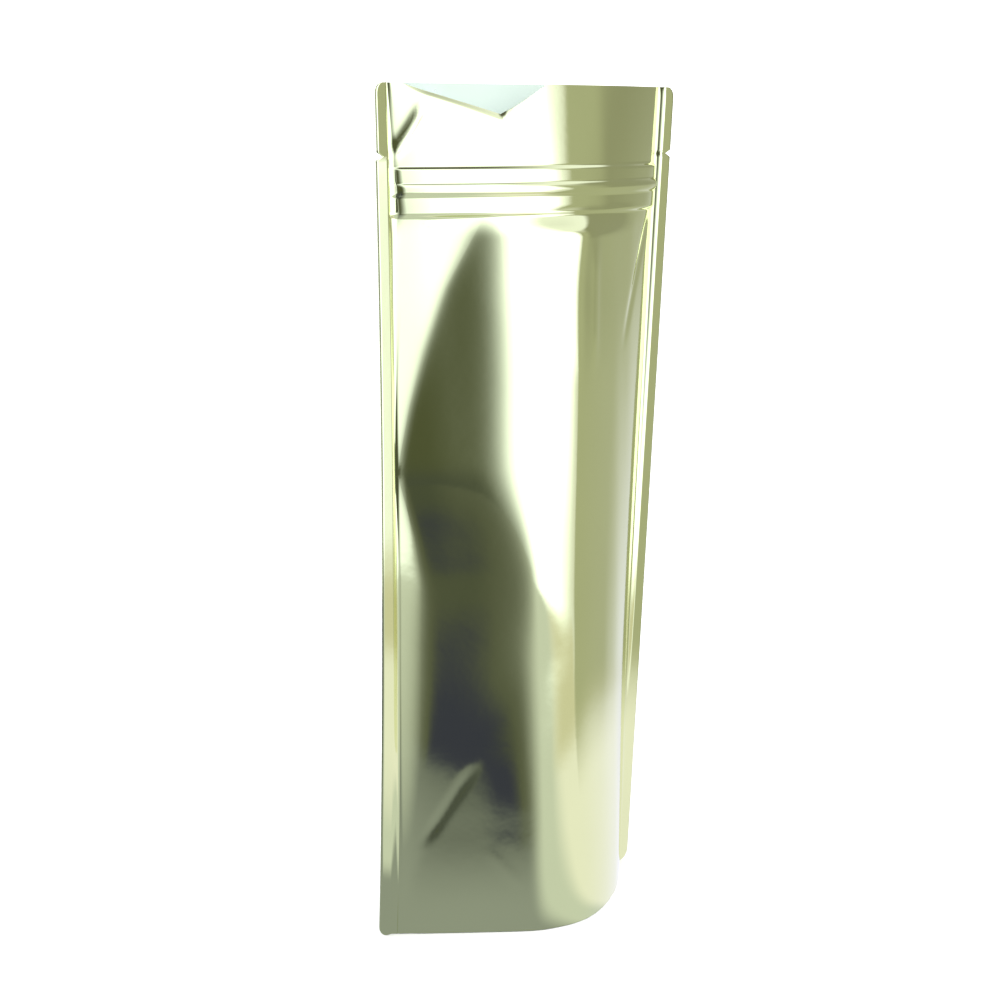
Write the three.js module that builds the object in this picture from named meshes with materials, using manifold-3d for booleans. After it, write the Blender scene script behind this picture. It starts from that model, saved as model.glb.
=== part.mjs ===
// Stand-up pouch of pale gold foil: two flat-seamed side seals, a press-to-close zip, lips that part above
// it, a faceted belly and an open round-bottom gusset. Millimetres, +Z up, front towards -Y, standing on
// the rim of its skirt, with the origin in the middle of the base.
import * as THREE from 'three';
import { mergeVertices } from 'three/addons/utils/BufferGeometryUtils.js';
import Module from 'manifold-3d';

// Driving dimensions
const HEIGHT = 240;
const HALF_WIDTH_TOP = 63.4;    // from the middle to the edge of a seal, at the mouth
const HALF_WIDTH_FOOT = 54.4;   // and at the foot, which the open gusset draws in
const WAIST = 2.2;              // how much further the left edge is drawn in at mid height
const SEAL = 6;                 // width of a side seal
const SEAL_SET = [[0, -1.5], [60, 0.5], [200, 1.45]];    // how far a seal's inner edge lies back, at heights
const FILM = 1.0;               // thickness of a seal: two films and what holds them
const LIP = 0.9;                // thickness of one lip
const LEAN = { x: 3.2, y: -4.8 };                   // how far the top stands off the foot
const ZIP = { bottom: 204, rib: 211, top: 217 };    // heights of the zip's flange and rib
const ZIP_RELIEF = { flange: 0.25, rib: 0.7, ribHalf: 1.8, edge: 0.4 };
const NOTCH = { height: 220.2, depth: 2.4, gape: 2.2 };
const CORNER_RADIUS = 3.2;
const LIP_DIP = { from: 4, low: 35, to: 52, depth: 8.3 };   // the front lip's V, from the left seal
const POCKET = { floor: ZIP.top + 5, margin: 8, slit: 0.2, over: 3 };
const GUSSET = { leaf: 33, skirt: 3, wall: 1.6, margin: 5 };

// The front panel, as values at heights: [height, value]. Distances run from the inner edge of the left
// seal: the valley beside the corner facet, the ridge beside the dark facet, and the crest of the belly.
const FRONT = {
  valley: [[0, 0.5], [30, 5], [112, 6], [133, 0.5], [ZIP.bottom, 27], [HEIGHT, LIP_DIP.from]],
  ridge: [[0, 27], [52, 31], [99, 31.5], [133, 25], [170, 28], [ZIP.bottom, 29.5], [HEIGHT, LIP_DIP.low]],
  crest: [[0, 43], [60, 49], [130, 50], [ZIP.bottom, 55], [HEIGHT, LIP_DIP.to]],
  cornerSlope: [[0, 0.74], [50, 0.54], [100, 0.5], [133, 0.46], [ZIP.bottom, 0.42]],
  facetSlope: [[0, 0.36], [133, 0.36], [ZIP.bottom, 0.42]],
  crestSlope: [[0, 0.3], [60, 0.2], [150, 0.2], [ZIP.bottom, 0.16]],
  rightBulge: [[0, 0.6], [60, 0.35], [130, 0.25], [ZIP.bottom, 0.2]],
  ridgeRadius: [[0, 1.0], [100, 0.5], [130, 0.8], [ZIP.bottom, 0.6]],
  crestRadius: [[0, 1.2], [60, 4], [130, 2.6], [ZIP.bottom, 1.2]],
  lipBow: [[ZIP.bottom, 13], [HEIGHT, 11]],
};
const BACK = {
  cornerSlope: [[0, 0.95], [60, 0.75], [130, 0.55], [ZIP.bottom, 0.4]],
  belly: [[0, 34], [60, 31], [130, 25], [ZIP.bottom, 16]],
  radius: [[0, 5], [130, 3]],
  lipBow: [[ZIP.top, 13], [HEIGHT, -1]],
  shoulder: { from: 90, to: ZIP.bottom, power: 1.5 },
};
const FRONT_SHOULDER = [ZIP.bottom - 5, ZIP.bottom + 2];
const VALLEY_RADIUS = 1.2;

// Mesh density
const ROW_STEP = 8;
const BAND_CELLS = [4, 6, 6, 8];    // seal to valley, to ridge, to crest, to the other seal

const foil = new THREE.MeshStandardMaterial({ color: 0xd9dcae, roughness: 0.12, metalness: 1 });

function byHeight(knots, z) {
  if (z <= knots[0][0]) return knots[0][1];
  for (let i = 1; i < knots.length; i++) {
    const [z0, v0] = knots[i - 1];
    const [z1, v1] = knots[i];
    if (z <= z1) return v0 + (v1 - v0) * (z - z0) / (z1 - z0);
  }
  return knots[knots.length - 1][1];
}

const softMin = (a, b, r) => (a + b) / 2 - Math.hypot((a - b) / 2, r);
const softPlus = (x, r) => (x + Math.hypot(x, 2 * r)) / 2;

// Half widths of the pouch at a height: its left edge is drawn in a little more than its right.
function halfWidths(z) {
  const right = HALF_WIDTH_FOOT + (HALF_WIDTH_TOP - HALF_WIDTH_FOOT) * z / HEIGHT;
  const arch = Math.sin(Math.PI * THREE.MathUtils.clamp(z / HEIGHT, 0, 1));
  return { left: right - WAIST * Math.pow(Math.max(arch, 0), 0.8), right };
}

const panelWidth = z => halfWidths(z).left + halfWidths(z).right - 2 * SEAL;

// Bow of the flat stretch at the zip and the lips.
const bow = (sagitta, p, width) => 4 * sagitta * (p / width) * (1 - p / width);

// The zip's flange and rib standing proud of the film.
function zipRelief(z) {
  const { flange, rib, ribHalf, edge } = ZIP_RELIEF;
  const rise = THREE.MathUtils.smoothstep(z, ZIP.bottom - edge, ZIP.bottom + edge);
  const fall = THREE.MathUtils.smoothstep(z, ZIP.top - edge, ZIP.top + edge);
  const ribShape = Math.max(0, 1 - ((z - ZIP.rib) / ribHalf) ** 2);
  return flange * (rise - fall) + rib * ribShape;
}

// Belly of the front panel: corner facet, dark facet beyond the valley, lit facet, bulged right side.
function frontBelly(p, width, z) {
  const at = name => byHeight(FRONT[name], z);
  const beyond = x => softPlus(x - at('valley'), VALLEY_RADIUS) - softPlus(-at('valley'), VALLEY_RADIUS);
  const leftSide = x => at('cornerSlope') * x + at('facetSlope') * beyond(x);
  const ridge = at('ridge');
  const crest = at('crest');
  const lit = leftSide(ridge) + at('crestSlope') * (p - ridge);
  const crestHeight = leftSide(ridge) + at('crestSlope') * (crest - ridge);
  const share = (width - p) / (width - crest);
  const rightSide = crestHeight * share * (1 + at('rightBulge') * (1 - share));
  return softMin(softMin(leftSide(p), lit, at('ridgeRadius')), rightSide, at('crestRadius'));
}

function frontHeight(p, width, z) {
  const flat = bow(byHeight(FRONT.lipBow, z), p, width);
  const toFlat = THREE.MathUtils.smoothstep(z, ...FRONT_SHOULDER);
  return flat * toFlat + frontBelly(p, width, z) * (1 - toFlat);
}

function backHeight(p, width, z) {
  const slope = byHeight(BACK.cornerSlope, z);
  const radius = byHeight(BACK.radius, z);
  const sides = softMin(slope * p, slope * (width - p), radius);
  const belly = softMin(sides, byHeight(BACK.belly, z), radius);
  const flat = -bow(byHeight(BACK.lipBow, z), p, width);
  const { from, to, power } = BACK.shoulder;
  const toFlat = THREE.MathUtils.clamp((z - from) / (to - from), 0, 1) ** power;
  return flat * toFlat + belly * (1 - toFlat);
}

// Distances from the left seal's inner edge at which a row has its vertices.
function columns(z) {
  const width = panelWidth(z);
  const bands = [0, byHeight(FRONT.valley, z), byHeight(FRONT.ridge, z), byHeight(FRONT.crest, z), width];
  const stops = [-SEAL];
  BAND_CELLS.forEach((cells, band) => {
    for (let i = 0; i < cells; i++) {
      stops.push(bands[band] + (bands[band + 1] - bands[band]) * i / cells);
    }
  });
  stops.push(width, width + SEAL);
  return stops;
}

// Heights of the rows: every height that shapes the panel, and even steps between them.
function rowHeights() {
  const { ribHalf, edge } = ZIP_RELIEF;
  const marks = new Set([0, HEIGHT, ...FRONT_SHOULDER]);
  for (const knots of Object.values(FRONT)) knots.forEach(([z]) => marks.add(z));
  for (const z of [ZIP.bottom, ZIP.top]) [-edge, edge].forEach(step => marks.add(z + step));
  for (const step of [-1, -0.5, 0, 0.5, 1]) marks.add(ZIP.rib + step * ribHalf);
  const sorted = [...marks].sort((a, b) => a - b);
  const rows = [];
  for (let i = 0; i + 1 < sorted.length; i++) {
    const cells = Math.ceil((sorted[i + 1] - sorted[i]) / ROW_STEP);
    for (let k = 0; k < cells; k++) rows.push(sorted[i] + (sorted[i + 1] - sorted[i]) * k / cells);
  }
  return [...rows, HEIGHT];
}

// A point of the pouch, p from the left seal's inner edge and y from the plane of the seals.
function place(p, y, z) {
  const inward = THREE.MathUtils.clamp(Math.max(-p, p - panelWidth(z)) / SEAL, 0, 1);
  const set = byHeight(SEAL_SET, z) * (1 - inward);
  const x = p - halfWidths(z).left + SEAL;
  return new THREE.Vector3(x + LEAN.x * z / HEIGHT, y + set + LEAN.y * z / HEIGHT, z);
}

const onPanel = (p, width) => p > 0 && p < width;

function frontY(p, z) {
  const width = panelWidth(z);
  return -FILM / 2 - (onPanel(p, width) ? frontHeight(p, width, z) + zipRelief(z) : 0);
}

function backY(p, z) {
  const width = panelWidth(z);
  return FILM / 2 + (onPanel(p, width) ? backHeight(p, width, z) + zipRelief(z) : 0);
}

// How far the front lip's rim dips below the mouth.
function lipDip(p) {
  const falling = (p - LIP_DIP.from) / (LIP_DIP.low - LIP_DIP.from);
  const rising = (LIP_DIP.to - p) / (LIP_DIP.to - LIP_DIP.low);
  return LIP_DIP.depth * Math.max(0, Math.min(falling, rising));
}

// Closed mesh between two sheets of points of the same size, near[row][column] facing -Y (or -Z).
function solidBetween(near, far) {
  const corners = [];
  const quad = (a, b, c, d) => corners.push(a, b, c, a, c, d);
  const lastRow = near.length - 1;
  const lastColumn = near[0].length - 1;
  for (let r = 0; r < lastRow; r++) {
    for (let c = 0; c < lastColumn; c++) {
      quad(near[r][c], near[r][c + 1], near[r + 1][c + 1], near[r + 1][c]);
      quad(far[r][c], far[r + 1][c], far[r + 1][c + 1], far[r][c + 1]);
    }
    quad(near[r][0], near[r + 1][0], far[r + 1][0], far[r][0]);
    quad(near[r][lastColumn], far[r][lastColumn], far[r + 1][lastColumn], near[r + 1][lastColumn]);
  }
  for (let c = 0; c < lastColumn; c++) {
    quad(near[0][c], far[0][c], far[0][c + 1], near[0][c + 1]);
    quad(near[lastRow][c], near[lastRow][c + 1], far[lastRow][c + 1], far[lastRow][c]);
  }
  return new THREE.BufferGeometry().setFromPoints(corners);
}

// Outer form of the pouch, solid, with the dip of the front lip.
function outerForm() {
  const rows = rowHeights();
  const front = rows.map(z => columns(z).map(p => {
    const share = THREE.MathUtils.clamp((z - ZIP.top) / (HEIGHT - ZIP.top), 0, 1);
    const lowered = z - share * lipDip(p);
    return place(p, frontY(p, lowered), lowered);
  }));
  const back = rows.map(z => columns(z).map(p => place(p, backY(p, z), z)));
  return solidBetween(front, back);
}

// Free space between the lips, from just above the zip to beyond the rim.
function mouthPocket() {
  const rows = 7;
  const cells = 24;
  const near = [];
  const far = [];
  for (let r = 0; r <= rows; r++) {
    const z = POCKET.floor + (HEIGHT + POCKET.over - POCKET.floor) * r / rows;
    const width = panelWidth(z);
    near.push([]);
    far.push([]);
    for (let c = 0; c <= cells; c++) {
      const p = POCKET.margin + (width - 2 * POCKET.margin) * c / cells;
      const front = frontY(p, z) + LIP;
      const back = backY(p, z) - LIP;
      const middle = (front + back) / 2;
      const half = Math.max(back - front, POCKET.slit) / 2;
      near[r].push(place(p, middle - half, z));
      far[r].push(place(p, middle + half, z));
    }
  }
  return solidBetween(near, far);
}

// Hollow under the gusset: a saddle roof, higher towards the side seals, open below.
function gussetHollow() {
  const cells = { along: 20, across: 10 };
  const width = panelWidth(0);
  const floor = [];
  const roof = [];
  for (let r = 0; r <= cells.across; r++) {
    floor.push([]);
    roof.push([]);
    const v = 1 - 2 * r / cells.across;
    for (let c = 0; c <= cells.along; c++) {
      const p = GUSSET.margin + (width - 2 * GUSSET.margin) * c / cells.along;
      const front = frontY(p, 0) + GUSSET.wall;
      const back = backY(p, 0) - GUSSET.wall;
      const half = (back - front) / 2;
      const rise = Math.sqrt(GUSSET.leaf ** 2 - half ** 2) * (1 - v * v);
      const at = place(p, (front + back) / 2 + half * v, 0);
      floor[r].push(at.clone().setZ(-1));
      roof[r].push(at.clone().setZ(GUSSET.skirt + rise));
    }
  }
  return solidBetween(floor, roof);
}

// Prism through the pouch's thickness, from an outline in X and Z.
function cutter(outline) {
  const reach = 40;
  const prism = new THREE.ExtrudeGeometry(outline, { depth: reach, bevelEnabled: false, curveSegments: 6 });
  return prism.rotateX(Math.PI / 2).translate(0, reach / 2, 0);
}

// V-shaped tear notch in the edge on one side, -1 left or 1 right.
function tearNotch(side) {
  const { height, depth, gape } = NOTCH;
  const edge = place(side < 0 ? -SEAL : panelWidth(height) + SEAL, 0, height).x;
  const outline = new THREE.Shape();
  outline.moveTo(edge - side * depth, height);
  outline.lineTo(edge + side, height + gape * (depth + 1) / depth / 2);
  outline.lineTo(edge + side, height - gape * (depth + 1) / depth / 2);
  outline.closePath();
  return cutter(outline);
}

// What rounding takes off the corner of a seal, at the mouth or at the foot.
function cornerWaste(side, z) {
  const edge = place(side < 0 ? -SEAL : panelWidth(z) + SEAL, 0, z).x;
  const up = z > 0 ? 1 : -1;
  const centre = { x: edge - side * CORNER_RADIUS, z: z - up * CORNER_RADIUS };
  const outline = new THREE.Shape();
  outline.moveTo(edge + side, centre.z);
  outline.lineTo(edge + side, z + up);
  outline.lineTo(centre.x, z + up);
  outline.lineTo(centre.x, z);
  const start = up * Math.PI / 2;
  const end = side < 0 ? up * Math.PI : 0;
  outline.absarc(centre.x, centre.z, CORNER_RADIUS, start, end, side * up > 0);
  outline.closePath();
  return cutter(outline);
}

const wasm = await Module();
wasm.setup();

function toManifold(geometry) {
  geometry.deleteAttribute('normal');
  geometry.deleteAttribute('uv');
  const merged = mergeVertices(geometry, 1e-4);
  return new wasm.Manifold(new wasm.Mesh({
    numProp: 3,
    vertProperties: new Float32Array(merged.attributes.position.array),
    triVerts: new Uint32Array(merged.index.array),
  }));
}

function toGeometry(manifold) {
  const mesh = manifold.getMesh();
  const geometry = new THREE.BufferGeometry();
  geometry.setAttribute('position', new THREE.BufferAttribute(mesh.vertProperties, 3));
  geometry.setIndex(new THREE.BufferAttribute(mesh.triVerts, 1));
  geometry.computeVertexNormals();
  return geometry;
}

// The whole pouch, moved so that its box stands centred on the origin.
function pouchGeometry() {
  let pouch = toManifold(outerForm());
  const edgeCuts = [-1, 1].flatMap(side => [tearNotch(side), cornerWaste(side, HEIGHT), cornerWaste(side, 0)]);
  const waste = [mouthPocket(), gussetHollow(), ...edgeCuts];
  for (const piece of waste) pouch = pouch.subtract(toManifold(piece));
  const geometry = toGeometry(pouch);
  geometry.computeBoundingBox();
  const { min, max } = geometry.boundingBox;
  return geometry.translate(-(min.x + max.x) / 2, -(min.y + max.y) / 2, -min.z);
}

const pouch = new THREE.Mesh(pouchGeometry(), foil);
pouch.name = 'pouch';

const model = new THREE.Group();
model.add(pouch);

export default model;
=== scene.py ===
"""Stand-up pouch of pale gold foil: thin films with their folds, a zip, a gusset, and a white studio."""
import math

import bpy
import numpy as np
from mathutils import Matrix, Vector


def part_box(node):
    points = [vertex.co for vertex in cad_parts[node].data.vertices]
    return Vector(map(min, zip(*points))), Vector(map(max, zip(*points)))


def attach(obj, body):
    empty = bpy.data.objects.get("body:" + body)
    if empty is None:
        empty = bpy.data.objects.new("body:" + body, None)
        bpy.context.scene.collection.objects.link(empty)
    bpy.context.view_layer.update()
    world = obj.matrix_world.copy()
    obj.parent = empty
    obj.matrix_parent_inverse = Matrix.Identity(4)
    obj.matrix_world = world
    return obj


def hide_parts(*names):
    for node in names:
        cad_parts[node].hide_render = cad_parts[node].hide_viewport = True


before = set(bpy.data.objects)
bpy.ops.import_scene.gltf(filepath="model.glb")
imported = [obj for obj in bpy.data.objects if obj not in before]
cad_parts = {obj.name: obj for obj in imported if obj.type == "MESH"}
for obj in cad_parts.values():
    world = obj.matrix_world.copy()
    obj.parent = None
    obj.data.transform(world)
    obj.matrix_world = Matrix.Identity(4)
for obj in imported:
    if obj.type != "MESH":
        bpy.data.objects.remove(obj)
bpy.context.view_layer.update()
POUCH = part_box("pouch")

# ---------------------------------------------------------------- driving dimensions, in millimetres
# X runs to the right as seen from the front, Y to the back and Z up. On the films, p is the distance from
# the inner edge of the left seal and z the height.
MM = 0.001
HEIGHT = 240.0
HALF_WIDTH_TOP = 63.4
HALF_WIDTH_FOOT = 54.4
WAIST, WAIST_POWER = 2.2, 0.8      # how far the left side is drawn in at half height, and how evenly
LEAN_X, LEAN_Y = 3.2, -4.8         # from the foot's middle to the mouth's
CORNER_RADIUS = 3.2                # of the pouch's four outer corners

FILM = 0.18                # thickness of one film
SEAL = 6.0                 # width of a side seal
SEALED = 0.2               # from the seals' plane to the outside of a film, in the seals
HALF_GAP = 0.5             # and on the panels
PANEL_EDGE = 1.0           # width over which the one turns into the other
SEAL_STEP = 1.5            # width of the step from a panel's edge to the seal that it stands behind
RIGHT_SEAL_TURN = 0.05     # how the right seal turns back
CORNER_TURN = 0.08         # how the left seal turns forward above its notch
CORNER_TURN_FADE = 1.0     # how far below and above the notch that sets in

ZIP_BOTTOM, ZIP_RIB, ZIP_TOP = 204.0, 211.0, 217.0     # heights of the band's edges and of its rib's middle
FLANGE_RISE, RIB_RISE = 0.8, 0.8           # how far the band stands out, and how much further its rib
RIB_HALF, ZIP_EDGE = 2.0, 0.7              # half height of the rib, and of the soft step at the band's edges
ZIP_INSET = 1.0                            # of the closed track from the seals and the band's lower edge
NOTCH_HEIGHT, NOTCH_DEPTH, NOTCH_GAPE = 220.2, 2.4, 2.2
DIP_START, DIP_LOW, DIP_END = 4.0, 35.0, 52.0          # the dip in the front lip, along p
DIP_DEPTH = 8.3
LIP_CURL, LIP_CURL_RUN = 1.4, 2.8          # how far the front lip's edge curls in, and over what height
CURL_START, CURL_END = 12.0, 5.0           # over what distances the curl begins and ends

# A curve is (softness, knots): straight between the knots, with its corners rounded over the softness. Each
# knot is (height, value), unless the curve's comment says otherwise.
SEAL_SET = (12, ((0, -1.5), (60, 0.5), (200, 1.45)))     # how far the panels' edges stand behind the seals

# The front panel has four facets from left to right: the corner facet, the dark facet, the lit facet and the
# right side. They meet in the valley, the ridge and the crest, given here as distances p. The ridge is about
# where the heights of its two facets put it, and its curve only carries a column of the mesh.
VALLEY = (2, ((0, 0.5), (30, 5), (60, 6.6), (103, 6.8), (115, 5), (133, 0.5), (151, 4.1), (167, 8.4),
              (184, 14.3), (ZIP_BOTTOM, 26), (HEIGHT, DIP_START)))
RIDGE = (0, ((0, 27), (52, 31), (99, 31.5), (133, 25), (170, 28), (ZIP_BOTTOM, 29.5), (HEIGHT, DIP_LOW)))
CREST = (6, ((0, 43), (50, 45), (100, 48), (130, 50), (185, 53.5), (ZIP_BOTTOM, 61), (HEIGHT, 65)))
VALLEY_RADIUS = (4, ((0, 0.8), (30, 1.2), (60, 1.8), (95, 1.5), (107, 0.7), (140, 0.5), (ZIP_BOTTOM, 1.0)))
RIDGE_RADIUS = (3, ((0, 1.0), (45, 1.2), (80, 1.9), (98, 0.6), (115, 0.8), (133, 2.0), (ZIP_BOTTOM, 2.0)))
CREST_RADIUS = (8, ((0, 2), (60, 3.2), (130, 2.6), (ZIP_BOTTOM, 1.2)))
CORNER_SLOPE = 0.42        # of the corner facet; the next curve says how much steeper the dark facet is
FACET_SLOPE = (15, ((0, 0.42), (50, 0.425), (80, 0.41), (133, 0.4), (ZIP_BOTTOM, 0.42)))
LIT_AT = 30.0              # where the lit facet stands as far out as the next curve says
LIT_HEIGHT = (10, ((0, 28.8), (30, 26.7), (60, 26.3), (90, 25.1), (133, 21.6), (160, 21), (190, 17.6),
                   (ZIP_BOTTOM, 13.4)))
LIT_SLOPE = (10, ((0, 0.3), (60, 0.2), (150, 0.2), (ZIP_BOTTOM, 0.16)))
RIGHT_BULGE = (12, ((0, 0.6), (60, 0.35), (130, 0.25), (ZIP_BOTTOM, 0.2)))      # how round the right side is
LIP_BOW = (0, ((ZIP_BOTTOM, 14.5), (HEIGHT, 11)))      # how far the zip band and lip bow forward
FRONT_SHOULDER = (197.5, 206.5)            # heights between which the belly turns into the zip band

# Below a slanting fold the front panel flares out at its foot.
FOOT_FOLD = (0.5, ((0, 5.5), (7.4, 27.5), (30, 74)))     # knots are (p, height of the fold)
FLARE = 0.043              # slope of the flare
FLARE_RADIUS = (0, ((5, 0.4), (31, 7.68)))               # knots are (p, radius of the fold)
FLARE_START = 5.0          # distance from the seal over which the flare grows
FLARE_GONE = 300.0         # height where nothing of it is left, above the mouth

# The back panel: its slopes beside the seals, how far its belly stands out, and how it bows above the zip
BACK_SLOPE = (10, ((0, 0.95), (60, 0.75), (130, 0.55), (ZIP_BOTTOM, 0.4)))
BACK_BELLY = (10, ((0, 34), (60, 31), (130, 25), (ZIP_BOTTOM, 16)))
BACK_RADIUS = (0, ((0, 5), (130, 3)))
BACK_LIP_BOW = (0, ((ZIP_TOP, 13), (HEIGHT, -1)))
BACK_SHOULDER, BACK_SHOULDER_POWER = (90.0, ZIP_BOTTOM), 1.5

# Creases in the front film: (start, end, half width, height), each end as (p, z)
CREASES = (
    ((-0.5, 218.6), (11.0, 235.8), 1.2, 0.9),          # from the left notch up the lip
    ((35.0, 231.4), (45.0, 228.6), 0.8, -0.22),        # from the low point of the lip's dip to the right
    ((10.0, 203.0), (33.0, 203.4), 0.6, -0.22),        # level, just below the zip band
    ((35.0, 203.0), (35.5, 199.0), 0.8, -0.3),         # and down at its end
    ((64.8, 199.0), (59.5, 158.0), 2.5, 0.4),          # down beside the crest
    ((108.0, 204.0), (83.0, 164.0), 1.8, -0.3),        # slanting in from the right seal
    ((6.0, 24.8), (19.0, 49.3), 1.0, -0.3),            # along the slanting fold at the foot
    ((20.0, 24.0), (27.0, 12.0), 1.0, 0.04),           # and faintly across below it
)
CREASE_FADE = (-0.05, 0.3)         # shares of its length between which a crease grows in at each end

# Slack of the films: a number of waves, with the ranges of their turns in radians for each millimetre. The
# longer a wave is, the higher it stands.
RIPPLE, RIPPLES = 0.007, 7
RIPPLE_ACROSS, RIPPLE_ALONG = (0.12, 0.5), (-0.035, 0.035)
RIPPLE_SHARE = (0.3, 1)
FRONT_SEED, BACK_SEED = 3, 8

GUSSET_LEAF = 33.0         # from the skirt's edge to the gusset's fold, along the film
GUSSET_SKIRT = 3.0         # height of the skirt below it
GUSSET_MARGIN = 2.5        # from the seals to its ends
GUSSET_FOLD = 1.4          # how round its fold is, from 1 for a sharp edge to 2 for an arch
GUSSET_GAP = 0.4           # from the gusset to the panels
FILM_GAP = 0.04            # between films that touch

# Mesh density: steps between rows, and numbers of cells or points
ROW_STEP, ZIP_ROW_STEP, ZIP_ROW_MARGIN = 0.9, 0.3, 1.2
CORNER_ROWS, NOTCH_ROWS, SKIRT_ROWS = 8, 7, 4
FRONT_CELLS = (8, 14, 26, 24, 60, 8)       # seal, corner facet, dark facet, lit facet, right side and seal
BACK_CELLS = (8, 100, 8)
GUSSET_POINTS = (110, 70)                  # along the foot, and round the fold
ZIP_POINTS = (90, 24)                      # along the zip, and up it
TINY = 1e-9                                # least length of a normal, so that nothing is divided by 0


# ---------------------------------------------------------------- form of the films
def soft_plus(x, radius):
    """x where it is more than nothing and 0 elsewhere, with the corner rounded."""
    return (x + np.hypot(x, 2 * radius)) / 2


def soft_min(a, b, radius):
    """The lesser of two, with the corner where they meet rounded."""
    return (a + b) / 2 - np.hypot((a - b) / 2, radius)


def smooth(low, high, x):
    """Smooth step from 0 at low to 1 at high, which may be the lesser of the two."""
    t = np.clip((x - low) / (high - low), 0, 1)
    return t * t * (3 - 2 * t)


def value_at(curve, x):
    """Value of a curve: straight between its knots and level beyond them, with rounded corners."""
    soft, knots = curve
    places, values = (np.array(column, float) for column in zip(*knots))
    slopes = np.diff(values) / np.diff(places)
    total = values[0] + 0 * x
    before = 0.0
    for knot, slope in zip(places, [*slopes, 0.0]):
        total = total + (slope - before) * soft_plus(x - knot, soft)
        before = slope
    return total


def unrounded(curve):
    """The same curve with sharp corners."""
    return 0, curve[1]


def half_widths(z):
    """Distances from the middle to the outer edges of the left and the right seal."""
    right = HALF_WIDTH_FOOT + (HALF_WIDTH_TOP - HALF_WIDTH_FOOT) * z / HEIGHT
    arch = np.sin(np.pi * np.clip(z / HEIGHT, 0, 1))
    return right - WAIST * np.maximum(arch, 0) ** WAIST_POWER, right


def panel_width(z):
    """Width between the seals."""
    left, right = half_widths(z)
    return left + right - 2 * SEAL


def bow(sagitta, p, width):
    """Parabola across the panel that stands out by the sagitta in its middle."""
    return 4 * sagitta * (p / width) * (1 - p / width)


def foot_flare(p, z):
    """How much further out the panel stands below the slanting fold at its foot."""
    fold = value_at(FOOT_FOLD, p)
    radius = value_at(FLARE_RADIUS, p)
    below = soft_plus(fold - z, radius) - soft_plus(fold - FLARE_GONE, radius)
    return FLARE * below * smooth(0, FLARE_START, p)


def left_facets(p, z):
    """The corner facet and the dark facet, which meet in the valley."""
    valley = value_at(VALLEY, z)
    radius = value_at(VALLEY_RADIUS, z)
    beyond = soft_plus(p - valley, radius) - soft_plus(-valley, radius)
    return CORNER_SLOPE * p + value_at(FACET_SLOPE, z) * beyond + foot_flare(p, z)


def lit_facet(p, z):
    """How far the lit facet stands out, also beyond the ridge and the crest."""
    return value_at(LIT_HEIGHT, z) + value_at(LIT_SLOPE, z) * (p - LIT_AT)


def front_belly(p, width, z):
    """All facets of the belly, which meet in a rounded ridge and crest."""
    crest = value_at(CREST, z)
    share = (width - p) / (width - crest)
    right_side = lit_facet(crest, z) * share * (1 + value_at(RIGHT_BULGE, z) * (1 - share))
    left_side = soft_min(left_facets(p, z), lit_facet(p, z), value_at(RIDGE_RADIUS, z))
    return soft_min(left_side, right_side, value_at(CREST_RADIUS, z))


def front_height(p, width, z):
    """How far the front panel stands out: the belly, and above its shoulder the bowed zip band and lip."""
    flat = bow(value_at(LIP_BOW, z), p, width)
    to_flat = smooth(*FRONT_SHOULDER, z)
    return flat * to_flat + front_belly(p, width, z) * (1 - to_flat)


def back_height(p, width, z):
    """How far the back panel stands out: a plain belly that flattens towards the zip band."""
    slope = value_at(BACK_SLOPE, z)
    radius = value_at(BACK_RADIUS, z)
    sides = soft_min(slope * p, slope * (width - p), radius)
    belly = soft_min(sides, value_at(BACK_BELLY, z), radius)
    flat = -bow(value_at(BACK_LIP_BOW, z), p, width)
    start, end = BACK_SHOULDER
    to_flat = np.clip((z - start) / (end - start), 0, 1) ** BACK_SHOULDER_POWER
    return flat * to_flat + belly * (1 - to_flat)


def zip_relief(z):
    """The zip band's flat flange and the rib in its middle."""
    flange = smooth(ZIP_BOTTOM - ZIP_EDGE, ZIP_BOTTOM + ZIP_EDGE, z)
    flange = flange - smooth(ZIP_TOP - ZIP_EDGE, ZIP_TOP + ZIP_EDGE, z)
    rib = np.maximum(0, 1 - ((z - ZIP_RIB) / RIB_HALF) ** 2)
    return FLANGE_RISE * flange + RIB_RISE * rib


def crease(p, z, start, end, half_width, height):
    """Soft ridge along a straight line, or a groove where its height is below nothing."""
    run = np.hypot(end[0] - start[0], end[1] - start[1])
    ux, uz = (end[0] - start[0]) / run, (end[1] - start[1]) / run
    along = (p - start[0]) * ux + (z - start[1]) * uz
    across = (p - start[0]) * uz - (z - start[1]) * ux
    low, high = CREASE_FADE
    ends = smooth(low * run, high * run, along) * smooth((1 - low) * run, (1 - high) * run, along)
    return height * np.exp(-(across / half_width) ** 2) * ends


def ripple(p, z, seed):
    """Slack of the film: long shallow waves, mostly up and down the pouch."""
    rng = np.random.default_rng(seed)
    total = 0 * p
    for _ in range(RIPPLES):
        across = rng.uniform(*RIPPLE_ACROSS)
        along = rng.uniform(*RIPPLE_ALONG)
        phase = rng.uniform(0, 2 * math.pi)
        total = total + rng.uniform(*RIPPLE_SHARE) / across * np.sin(across * p + along * z + phase)
    return total * RIPPLE


def lip_dip(p):
    """How far the front lip's edge lies below the back one's."""
    falling = (p - DIP_START) / (DIP_LOW - DIP_START)
    rising = (DIP_END - p) / (DIP_END - DIP_LOW)
    return DIP_DEPTH * np.maximum(0, np.minimum(falling, rising))


def lip_curl(p, z):
    """How far the front lip is curled in near its edge, along the falling side of the dip."""
    below_edge = HEIGHT - lip_dip(p) - z
    curled = smooth(0, CURL_START, p) * smooth(DIP_LOW + CURL_END, DIP_LOW, p)
    return LIP_CURL * curled * np.maximum(0, 1 - below_edge / LIP_CURL_RUN) ** 2


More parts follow.
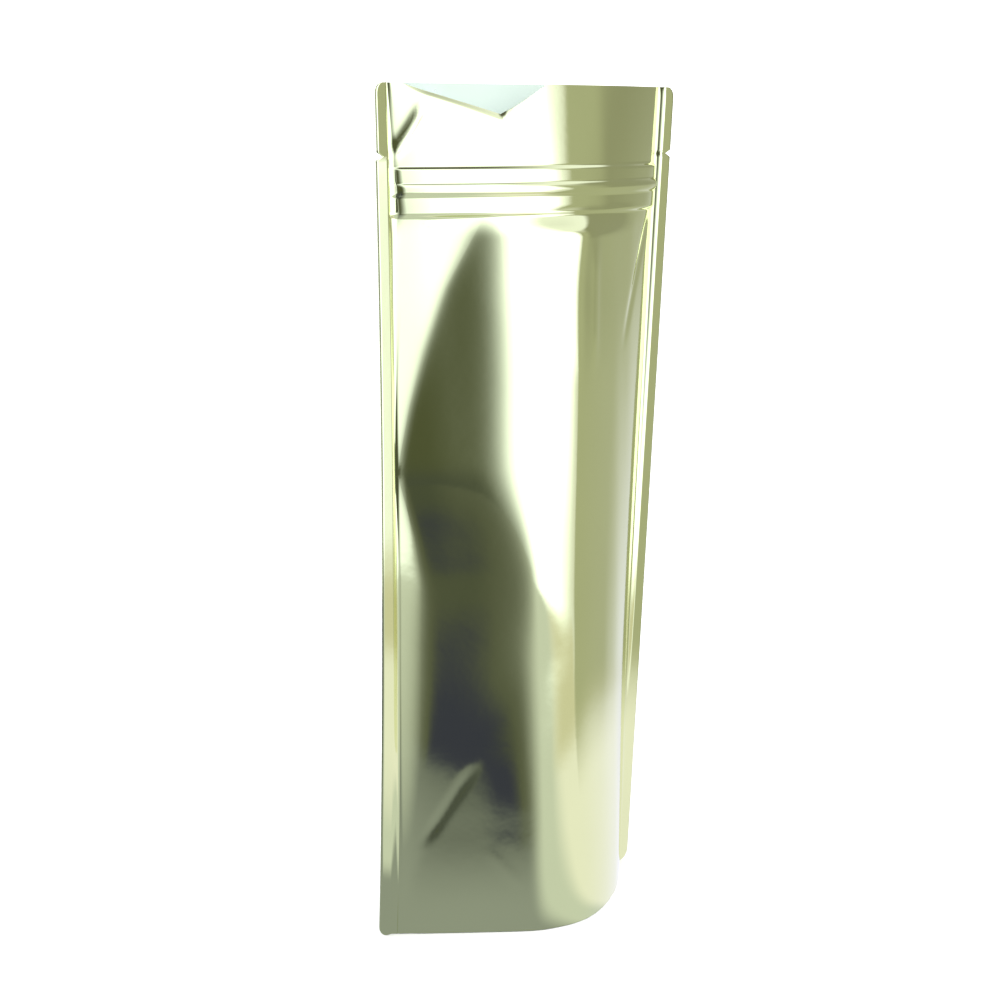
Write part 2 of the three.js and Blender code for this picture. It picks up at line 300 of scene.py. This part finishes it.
def on_panel(p, width):
    """1 on the panel and 0 in the seals, with a soft step."""
    return smooth(0, PANEL_EDGE, p) * smooth(0, PANEL_EDGE, width - p)


def film_surface(p, z, height_at, detail):
    """Outside of a film as distance from the seals' plane: level in the seals, with detail on the panel."""
    width = panel_width(z)
    inside = np.clip(p, 0, width)
    height = np.where((p > 0) & (p < width), height_at(inside, width, z), 0)
    return SEALED + height + on_panel(p, width) * (HALF_GAP - SEALED + detail)


def front_surface(p, z):
    """Outside of the front film as distance in front of the seals' plane."""
    detail = zip_relief(z) + sum(crease(p, z, *line) for line in CREASES) + ripple(p, z, FRONT_SEED)
    return film_surface(p, z, front_height, detail - lip_curl(p, z))


def back_surface(p, z):
    """Outside of the back film as distance behind the seals' plane."""
    return film_surface(p, z, back_height, zip_relief(z) + ripple(p, z, BACK_SEED))


def place(p, y, z):
    """Points of the pouch, p from the left seal's inner edge and y from the plane of the seals."""
    width = panel_width(z)
    outward = np.maximum(-p, p - width)
    x = p - half_widths(z)[0] + SEAL + LEAN_X * z / HEIGHT
    y = y + value_at(SEAL_SET, z) * (1 - smooth(0, SEAL_STEP, outward)) + LEAN_Y * z / HEIGHT
    y = y + RIGHT_SEAL_TURN * np.maximum(p - width, 0)
    above_notch = smooth(NOTCH_HEIGHT - CORNER_TURN_FADE, NOTCH_HEIGHT + CORNER_TURN_FADE, z)
    y = y - CORNER_TURN * np.maximum(-p, 0) * above_notch
    return np.stack([x, y, z + 0 * p], axis=-1)


# ---------------------------------------------------------------- grids of points on the films
def edge_inset(z):
    """How far the outer edge of a seal lies in, for its rounded corners and its tear notch."""
    corner = np.maximum(0, np.maximum(CORNER_RADIUS - z, z - HEIGHT + CORNER_RADIUS))
    rounding = CORNER_RADIUS - np.sqrt(np.maximum(CORNER_RADIUS ** 2 - corner ** 2, 0))
    notch = NOTCH_DEPTH * np.maximum(0, 1 - np.abs(z - NOTCH_HEIGHT) / (NOTCH_GAPE / 2))
    return rounding + notch


def row_heights():
    """Heights of the rows: close at rounded corners, notches and the zip, even between them."""
    corner = CORNER_RADIUS * (1 - np.cos(np.linspace(0, math.pi / 2, CORNER_ROWS)))
    notch = NOTCH_HEIGHT + NOTCH_GAPE / 2 * np.linspace(-1, 1, NOTCH_ROWS)
    zip_rows = np.arange(ZIP_BOTTOM - ZIP_ROW_MARGIN, ZIP_TOP + ZIP_ROW_MARGIN, ZIP_ROW_STEP)
    marks = np.unique(np.round([*corner, *(HEIGHT - corner), *notch, *zip_rows], 4))
    rows = [marks[0]]
    for mark in marks[1:]:
        cells = math.ceil((mark - rows[-1]) / ROW_STEP)
        rows += list(np.linspace(rows[-1], mark, cells + 1)[1:])
    return np.array(rows)


def grid_between(bounds, cells, z):
    """Distances of a film's columns on every row, evenly spaced between its bounds."""
    columns = []
    for low, high, count in zip(bounds, bounds[1:], cells):
        columns += [low + (high - low) * i / count for i in range(count)]
    return np.stack([*columns, bounds[-1]], axis=-1) + 0 * z[:, None]


def front_points():
    """Outside of the front film, with columns along the lines where its facets meet."""
    rows = row_heights()
    inset = edge_inset(rows)
    width = panel_width(rows)
    lines = [value_at(unrounded(line), rows) for line in (VALLEY, RIDGE, CREST)]
    p = grid_between([-SEAL + inset, 0 * rows, *lines, width, width + SEAL - inset], FRONT_CELLS, rows)
    share = np.clip((rows - ZIP_TOP) / (HEIGHT - ZIP_TOP), 0, 1)[:, None]
    z = rows[:, None] - share * lip_dip(p)
    return place(p, -front_surface(p, z), z)


def back_points():
    """Outside of the back film."""
    rows = row_heights()
    inset = edge_inset(rows)
    width = panel_width(rows)
    p = grid_between([-SEAL + inset, 0 * rows, width, width + SEAL - inset], BACK_CELLS, rows)
    z = rows[:, None] + 0 * p
    return place(p, back_surface(p, z), z)


def gusset_points():
    """Underside of the gusset: up the inside of the skirt, over the raised fold and down to the back."""
    width = panel_width(0)
    p = np.linspace(GUSSET_MARGIN, width - GUSSET_MARGIN, GUSSET_POINTS[0])[None, :]
    skirt = np.linspace(0, GUSSET_SKIRT, SKIRT_ROWS)[:, None]
    clear = 2 * FILM + GUSSET_GAP
    front_skirt = place(p, clear - front_surface(p, skirt), skirt)
    back_skirt = place(p, back_surface(p, skirt) - clear, skirt)[::-1]
    share = np.linspace(0, 1, GUSSET_POINTS[1])[1:-1, None, None]
    roof = front_skirt[-1] * (1 - share) + back_skirt[0] * share
    half = (back_skirt[0, :, 1] - front_skirt[-1, :, 1]) / 2
    rise = np.sqrt(np.maximum(GUSSET_LEAF ** 2 - half ** 2, 1))
    roof[..., 2] += rise * (1 - np.abs(2 * share[..., 0] - 1) ** GUSSET_FOLD)
    z = roof[..., 2]
    nearest = place(p, clear - front_surface(p, z), z)[..., 1]
    farthest = place(p, back_surface(p, z) - clear, z)[..., 1]
    roof[..., 1] = np.clip(roof[..., 1], nearest, np.maximum(nearest, farthest))
    return np.concatenate([front_skirt, roof, back_skirt])


def zip_faces():
    """Front and back faces of the closed zip between the films."""
    z = np.linspace(ZIP_BOTTOM + ZIP_INSET, ZIP_TOP, ZIP_POINTS[1])[:, None]
    width = panel_width(z)
    p = ZIP_INSET + (width - 2 * ZIP_INSET) * np.linspace(0, 1, ZIP_POINTS[0])[None, :]
    clear = FILM + FILM_GAP
    return place(p, clear - front_surface(p, z), z), place(p, back_surface(p, z) - clear, z)


def offset_to_solid(points):
    """Shift that gives the points the left edge, the back and the foot of the solid."""
    lowest, highest = points.min(axis=0), points.max(axis=0)
    solid = np.array([POUCH[0][0], POUCH[1][1], POUCH[0][2]]) / MM
    return solid - np.array([lowest[0], highest[1], lowest[2]])


FRONT, BACK = front_points(), back_points()
OFFSET = offset_to_solid(np.concatenate([FRONT.reshape(-1, 3), BACK.reshape(-1, 3)]))


# ---------------------------------------------------------------- meshes
def grid_normals(points):
    """Unit normals of a grid, from the slopes of its columns and rows."""
    along = np.gradient(points, axis=1)
    up = np.gradient(points, axis=0)
    normals = np.cross(along, up)
    return normals / np.maximum(np.linalg.norm(normals, axis=-1, keepdims=True), TINY)


def quads(rows, columns, first, flip):
    """Faces of a grid of vertices that are numbered row by row from first."""
    faces = []
    for r in range(rows - 1):
        for c in range(columns - 1):
            a = first + r * columns + c
            face = (a, a + 1, a + columns + 1, a + columns)
            faces.append(face[::-1] if flip else face)
    return faces


def rim(rows, columns):
    """Numbers of the vertices round the edge of a grid, in order."""
    bottom = list(range(columns))
    right = [r * columns + columns - 1 for r in range(1, rows)]
    top = [(rows - 1) * columns + c for c in range(columns - 2, -1, -1)]
    left = [r * columns for r in range(rows - 2, 0, -1)]
    return bottom + right + top + left


def shell_faces(rows, columns, outward):
    """Faces of a closed shell of two grids: those of the outer grid, of the inner one and of the rim."""
    count = rows * columns
    faces = quads(rows, columns, 0, outward < 0) + quads(rows, columns, count, outward > 0)
    edge = rim(rows, columns)
    for a, b in zip(edge, edge[1:] + edge[:1]):
        face = (b, a, a + count, b + count)
        faces.append(face if outward > 0 else face[::-1])
    return faces


def shell_object(name, outer, inner, materials, outward):
    """Closed shell between two grids of points, the inner one in the second material."""
    rows, columns = outer.shape[:2]
    faces = shell_faces(rows, columns, outward)
    vertices = (np.concatenate([outer.reshape(-1, 3), inner.reshape(-1, 3)]) + OFFSET) * MM
    mesh = bpy.data.meshes.new(name)
    mesh.from_pydata(vertices.tolist(), [], faces)
    for material in materials:
        mesh.materials.append(material)
    grid_faces = (rows - 1) * (columns - 1)
    inside = np.zeros(len(faces), int)
    inside[grid_faces:2 * grid_faces] = 1
    mesh.polygons.foreach_set("material_index", inside)
    mesh.polygons.foreach_set("use_smooth", [True] * len(faces))
    mesh.validate()
    piece = bpy.data.objects.new(name, mesh)
    bpy.context.scene.collection.objects.link(piece)
    return piece


def film_object(name, outer, materials, outward):
    """Film whose outside is a grid of points; outward is 1 where the grid's normals point out, or -1."""
    inner = outer - grid_normals(outer) * outward * FILM
    return shell_object(name, outer, inner, materials, outward)


def add_piece(piece):
    """Let a piece ride with the pouch and stand for its solid."""
    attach(piece, "root")
    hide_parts("pouch")


# ---------------------------------------------------------------- node helpers
class Nodes:
    """Short calls that add nodes to one tree and link them."""

    def __init__(self, tree):
        self.tree = tree
        tree.nodes.clear()

    def add(self, kind, **settings):
        """Add a node of a kind and set its properties."""
        node = self.tree.nodes.new(kind)
        for name, value in settings.items():
            setattr(node, name, value)
        return node

    def put(self, socket, value):
        """Link a socket to another one, or set its value."""
        if isinstance(value, bpy.types.NodeSocket):
            self.tree.links.new(value, socket)
        else:
            socket.default_value = value

    def put_out(self, shader, kind="ShaderNodeOutputMaterial"):
        """Make a shader the surface of what the tree belongs to."""
        self.put(self.add(kind).inputs["Surface"], shader.outputs[0])

    def math(self, operation, *values):
        """Result of a sum on numbers or sockets."""
        node = self.add("ShaderNodeMath", operation=operation)
        for socket, value in zip(node.inputs, values):
            self.put(socket, value)
        return node.outputs[0]

    def times(self, a, b):
        """Product of two numbers or sockets."""
        return self.math("MULTIPLY", a, b)

    def ramp(self, value, low, high, start, end, interpolation="SMOOTHSTEP"):
        """Change from start, where the value is low, to end, where it is high."""
        node = self.add("ShaderNodeMapRange", interpolation_type=interpolation)
        names = ("Value", "From Min", "From Max", "To Min", "To Max")
        for name, setting in zip(names, (value, low, high, start, end)):
            self.put(node.inputs[name], setting)
        return node.outputs["Result"]

    def step(self, value, low, high):
        """Smooth step from 0 at low to 1 at high, which may be the lesser of the two."""
        return self.ramp(value, low, high, 0, 1) if low < high else self.ramp(value, high, low, 1, 0)

    def mix(self, factor, a, b):
        """Colour from a to b."""
        node = self.add("ShaderNodeMix", data_type="RGBA")
        colours = [socket for socket in node.inputs if socket.type == "RGBA"]
        self.put(node.inputs[0], factor)
        self.put(colours[0], a)
        self.put(colours[1], b)
        return next(socket for socket in node.outputs if socket.type == "RGBA")

    def noise(self, scale, detail):
        """Noise that keeps its place on the object."""
        node = self.add("ShaderNodeTexNoise", noise_dimensions="3D")
        self.put(node.inputs["Vector"], self.add("ShaderNodeTexCoord").outputs["Object"])
        self.put(node.inputs["Scale"], scale)
        self.put(node.inputs["Detail"], detail)
        return node.outputs[0]


# ---------------------------------------------------------------- materials
GOLD = (0.80, 0.83, 0.46, 1)
SILVER = (0.66, 0.77, 0.66, 1)
CRINKLE_SCALE, CRINKLE_DETAIL = 90.0, 3.0
CRINKLE_STRENGTH, CRINKLE_DEPTH = 0.04, 0.0006
HAZE_SCALE, HAZE_DETAIL = 35.0, 2.0
HAZE_SPREAD = 0.25         # share by which the roughness varies
HAZE_DULLING = 0.95        # what the haze leaves of the colour


def new_material(name):
    """A material with an empty node tree, and the tree's helper."""
    material = bpy.data.materials.new(name)
    material.use_nodes = True
    return material, Nodes(material.node_tree)


def foil_material(name, colour, metallic, roughness):
    """Metallised film: a mirror with a slight haze and fine crinkles."""
    material, nodes = new_material(name)
    shader = nodes.add("ShaderNodeBsdfPrincipled")
    nodes.put(shader.inputs["Metallic"], metallic)
    haze = nodes.noise(HAZE_SCALE, HAZE_DETAIL)
    least, most = roughness * (1 - HAZE_SPREAD), roughness * (1 + HAZE_SPREAD)
    nodes.put(shader.inputs["Roughness"], nodes.ramp(haze, 0, 1, least, most, "LINEAR"))
    duller = tuple(HAZE_DULLING * c for c in colour[:3]) + (1,)
    nodes.put(shader.inputs["Base Color"], nodes.mix(haze, colour, duller))
    bump = nodes.add("ShaderNodeBump")
    nodes.put(bump.inputs["Strength"], CRINKLE_STRENGTH)
    nodes.put(bump.inputs["Distance"], CRINKLE_DEPTH)
    nodes.put(bump.inputs["Height"], nodes.noise(CRINKLE_SCALE, CRINKLE_DETAIL))
    nodes.put(shader.inputs["Normal"], bump.outputs[0])
    nodes.put_out(shader)
    return material


# ---------------------------------------------------------------- camera and studio
CAMERA_AT = np.array([-531.9, -494.5, 230.9])      # before the pouch and the camera are moved by the offset
YAW, PITCH, ROLL = math.radians(46.82), math.radians(8.684), math.radians(0.22)
FOCAL_PIXELS, FRAME_PIXELS, SENSOR = 2508.1, 1000, 36.0
CLIP = (0.01, 20.0)                # nearest and farthest that the camera sees, in metres

ROOM = (1.8, 1.8, 1.8, 1)          # light of the room on the floor, and what the camera sees of it
FLOOR = (0.95, 0.95, 0.95, 1)
FLOOR_REACH, TABLE_REACH = 3000, 700
FLOOR_DROP = 0.0002                # metres that the floor lies below the foot

# What the foil mirrors is a white room with these walls: (bearings where a wall starts to show, is full,
# starts to go and is gone; elevations where it is full and where it is gone; colour). Bearings run from the
# camera's side of the pouch towards the camera's right, in degrees. A later wall covers an earlier one.
WHITE = (2.0, 2.15, 2.75, 1)
WALLS = (
    ((80, 97, 165, 180), (-4, 0), (0.85, 0.87, 0.98, 1)),               # to the right, below eye level
    ((89, 98, 165, 180), (0, -4), (0.85, 0.87, 0.98, 1)),               # and above it
    ((96, 98.5, 140, 162), (18, 35), (0.48, 0.50, 0.42, 1)),            # khaki to the right
    ((104, 118, 140, 162), (3, -6), (0.34, 0.35, 0.29, 1)),             # and darker above eye level
    ((80, 97, 165, 180), (34, 28), (1.1, 1.15, 1.35, 1)),               # bright over it
    ((-181, -180, 180, 181), (58, 38), (0.12, 0.12, 0.11, 1)),          # ceiling
    ((-168, -150, -90, -60), (100, 101), (0.42, 0.42, 0.40, 1)),        # grey to the left
    ((-40, -28, 14, 62), (20, 60), (0.092, 0.102, 0.065, 1)),           # dark olive behind the camera
    ((1, 4, 15, 24), (-18, -5), (0.075, 0.085, 0.08, 1)),               # and darkest low in it
)

# Painted reflection of a table top, with painted light and shade on it, glowing on a plane that only the
# foil mirrors.
# Each tone sets in between two distances from the pouch, in metres, or two bearings, in degrees.
TABLE_NEAR = (0.33, 0.36, 0.43, 1)
TABLE_FAR, FAR_DISTANCE = (0.085, 0.095, 0.105, 1), (0.06, 0.38)
DARK_CORE = (0.045, 0.048, 0.10, 1)
DARK_DISTANCE, DARK_BEARING = (0.22, 0.27), (4.5, 7.5)
DARK_OUTER, OUTER_DISTANCE = (0.08, 0.09, 0.075, 1), (0.34, 0.42)
DARK_OLIVE, OLIVE_BEARING = (0.11, 0.12, 0.10, 1), (9.5, 14)
TABLE_RIM = (0.74, 0.72, 0.66, 1)
RIM_DISTANCE, RIM_BEARING = (0.27, 0.34), (55, 80)
# Painted light: brighter bands of the mirrored table in these bearings round the pouch
TABLE_BANDS = (
    ((12, 40), (0.70, 0.75, 0.86, 1)),
    ((55, 80), (1.0, 1.0, 1.15, 1)),
    ((150, 170), (0.80, 0.82, 1.0, 1)),
    ((-140, -172), (0.80, 0.82, 1.0, 1)),
)
TABLE_RADIUS = (90, 98, 0.49, 0.28)        # bearings between which it changes, and its metres there
TABLE_EDGE = (30, 65, 0.015, 0.09)         # the same for the softness of the table's edge


def make_camera():
    """Camera at the photograph's place and angle."""
    data = bpy.data.cameras.new("camera")
    data.sensor_width = SENSOR
    data.lens = SENSOR * FOCAL_PIXELS / FRAME_PIXELS
    data.clip_start, data.clip_end = CLIP
    camera = bpy.data.objects.new("camera", data)
    bpy.context.scene.collection.objects.link(camera)
    ahead = np.array([math.sin(YAW) * math.cos(PITCH), math.cos(YAW) * math.cos(PITCH), -math.sin(PITCH)])
    level = np.array([math.cos(YAW), -math.sin(YAW), 0.0])
    upright = np.cross(level, ahead)
    right = math.cos(ROLL) * level + math.sin(ROLL) * upright
    up = -math.sin(ROLL) * level + math.cos(ROLL) * upright
    axes = Matrix([[right[i], up[i], -ahead[i]] for i in range(3)]).to_4x4()
    camera.matrix_world = Matrix.Translation([float(v) for v in (CAMERA_AT + OFFSET) * MM]) @ axes
    bpy.context.scene.camera = camera


def bearing_of(nodes, x, y):
    """Direction round the pouch, in degrees from the camera's side towards the camera's right."""
    back = nodes.math("ADD", nodes.times(x, -math.sin(YAW)), nodes.times(y, -math.cos(YAW)))
    side = nodes.math("ADD", nodes.times(x, math.cos(YAW)), nodes.times(y, -math.sin(YAW)))
    return nodes.times(nodes.math("ARCTAN2", side, back), math.degrees(1))


def make_world():
    """Plain room light, and for reflections alone the white room with its walls."""
    world = bpy.data.worlds.new("studio")
    bpy.context.scene.world = world
    world.use_nodes = True
    nodes = Nodes(world.node_tree)
    direction = nodes.add("ShaderNodeSeparateXYZ")
    nodes.put(direction.inputs[0], nodes.add("ShaderNodeTexCoord").outputs["Generated"])
    x, y, z = direction.outputs
    bearing = bearing_of(nodes, x, y)
    elevation = nodes.times(nodes.math("ARCSINE", z), math.degrees(1))
    mirrored = WHITE
    for (start, full, hold, end), (there, gone), colour in WALLS:
        across = nodes.times(nodes.step(bearing, start, full), nodes.step(bearing, end, hold))
        wall = nodes.times(across, nodes.step(elevation, gone, there))
        mirrored = nodes.mix(wall, mirrored, colour)
    background = nodes.add("ShaderNodeBackground")
    in_reflection = nodes.add("ShaderNodeLightPath").outputs["Is Glossy Ray"]
    nodes.put(background.inputs["Color"], nodes.mix(in_reflection, ROOM, mirrored))
    nodes.put_out(background, "ShaderNodeOutputWorld")


def stage_plane(name, reach, material):
    """Level square under the pouch that reaches so many millimetres to each side."""
    mesh = bpy.data.meshes.new(name)
    corners = ((-1, -1), (1, -1), (1, 1), (-1, 1))
    mesh.from_pydata([(x * reach * MM, y * reach * MM, -FLOOR_DROP) for x, y in corners], [], [(0, 1, 2, 3)])
    mesh.materials.append(material)
    plane = bpy.data.objects.new(name, mesh)
    bpy.context.scene.collection.objects.link(plane)
    return plane


def make_floor():
    """White floor as the camera sees it."""
    material, nodes = new_material("floor_white")
    shader = nodes.add("ShaderNodeBsdfDiffuse")
    nodes.put(shader.inputs["Color"], FLOOR)
    nodes.put_out(shader)
    floor = stage_plane("floor", FLOOR_REACH, material)
    floor.visible_glossy = False


def painted_table_light_and_shade(nodes, bearing, distance):
    """Painted light and shade of the mirrored table top: near to far, the dark patch, brighter bands round
    the pouch and the outer rim.
    """
    colour = nodes.mix(nodes.step(distance, *FAR_DISTANCE), TABLE_NEAR, TABLE_FAR)
    dark = nodes.mix(nodes.step(distance, *OUTER_DISTANCE), DARK_CORE, DARK_OUTER)
    dark = nodes.mix(nodes.step(bearing, *OLIVE_BEARING), dark, DARK_OLIVE)
    in_dark = nodes.times(nodes.step(bearing, *DARK_BEARING), nodes.step(distance, *DARK_DISTANCE))
    colour = nodes.mix(in_dark, colour, dark)
    for bearings, band in TABLE_BANDS:
        colour = nodes.mix(nodes.step(bearing, *bearings), colour, band)
    in_rim = nodes.times(nodes.step(bearing, *RIM_BEARING), nodes.step(distance, *RIM_DISTANCE))
    return nodes.mix(in_rim, colour, TABLE_RIM)


def make_table_reflection():
    """Glowing plane that paints the table top's reflection, with its light and shade, into the foil; nothing
    else sees it.
    """
    material, nodes = new_material("table_glow")
    spot = nodes.add("ShaderNodeNewGeometry").outputs["Position"]
    place_at = nodes.add("ShaderNodeSeparateXYZ")
    nodes.put(place_at.inputs[0], spot)
    bearing = bearing_of(nodes, *place_at.outputs[:2])
    length = nodes.add("ShaderNodeVectorMath", operation="LENGTH")
    nodes.put(length.inputs[0], spot)
    distance = length.outputs["Value"]
    glow = nodes.add("ShaderNodeEmission")
    nodes.put(glow.inputs["Color"], painted_table_light_and_shade(nodes, bearing, distance))
    past_edge = nodes.math("SUBTRACT", distance, nodes.ramp(bearing, *TABLE_RADIUS))
    past_edge = nodes.math("DIVIDE", past_edge, nodes.ramp(bearing, *TABLE_EDGE))
    blend = nodes.add("ShaderNodeMixShader")
    nodes.put(blend.inputs[0], nodes.step(past_edge, -1, 1))
    nodes.put(blend.inputs[1], glow.outputs[0])
    nodes.put(blend.inputs[2], nodes.add("ShaderNodeBsdfTransparent").outputs[0])
    nodes.put_out(blend)
    table = stage_plane("table_reflection", TABLE_REACH, material)
    table.visible_camera = False
    table.visible_diffuse = False
    table.visible_shadow = False


# ---------------------------------------------------------------- the pouch
gold = foil_material("gold_foil_face", GOLD, 1.0, 0.06)
silver = foil_material("silver_foil_inside", SILVER, 0.4, 0.3)
add_piece(film_object("front_film", FRONT, [gold, silver], 1))
add_piece(film_object("back_film", BACK, [gold, silver], -1))
add_piece(film_object("gusset_film", gusset_points(), [gold, silver], -1))
add_piece(shell_object("zip_track", *zip_faces(), [gold, silver], 1))

bpy.context.scene.view_settings.view_transform = "Standard"
make_camera()
make_world()
make_floor()
make_table_reflection()
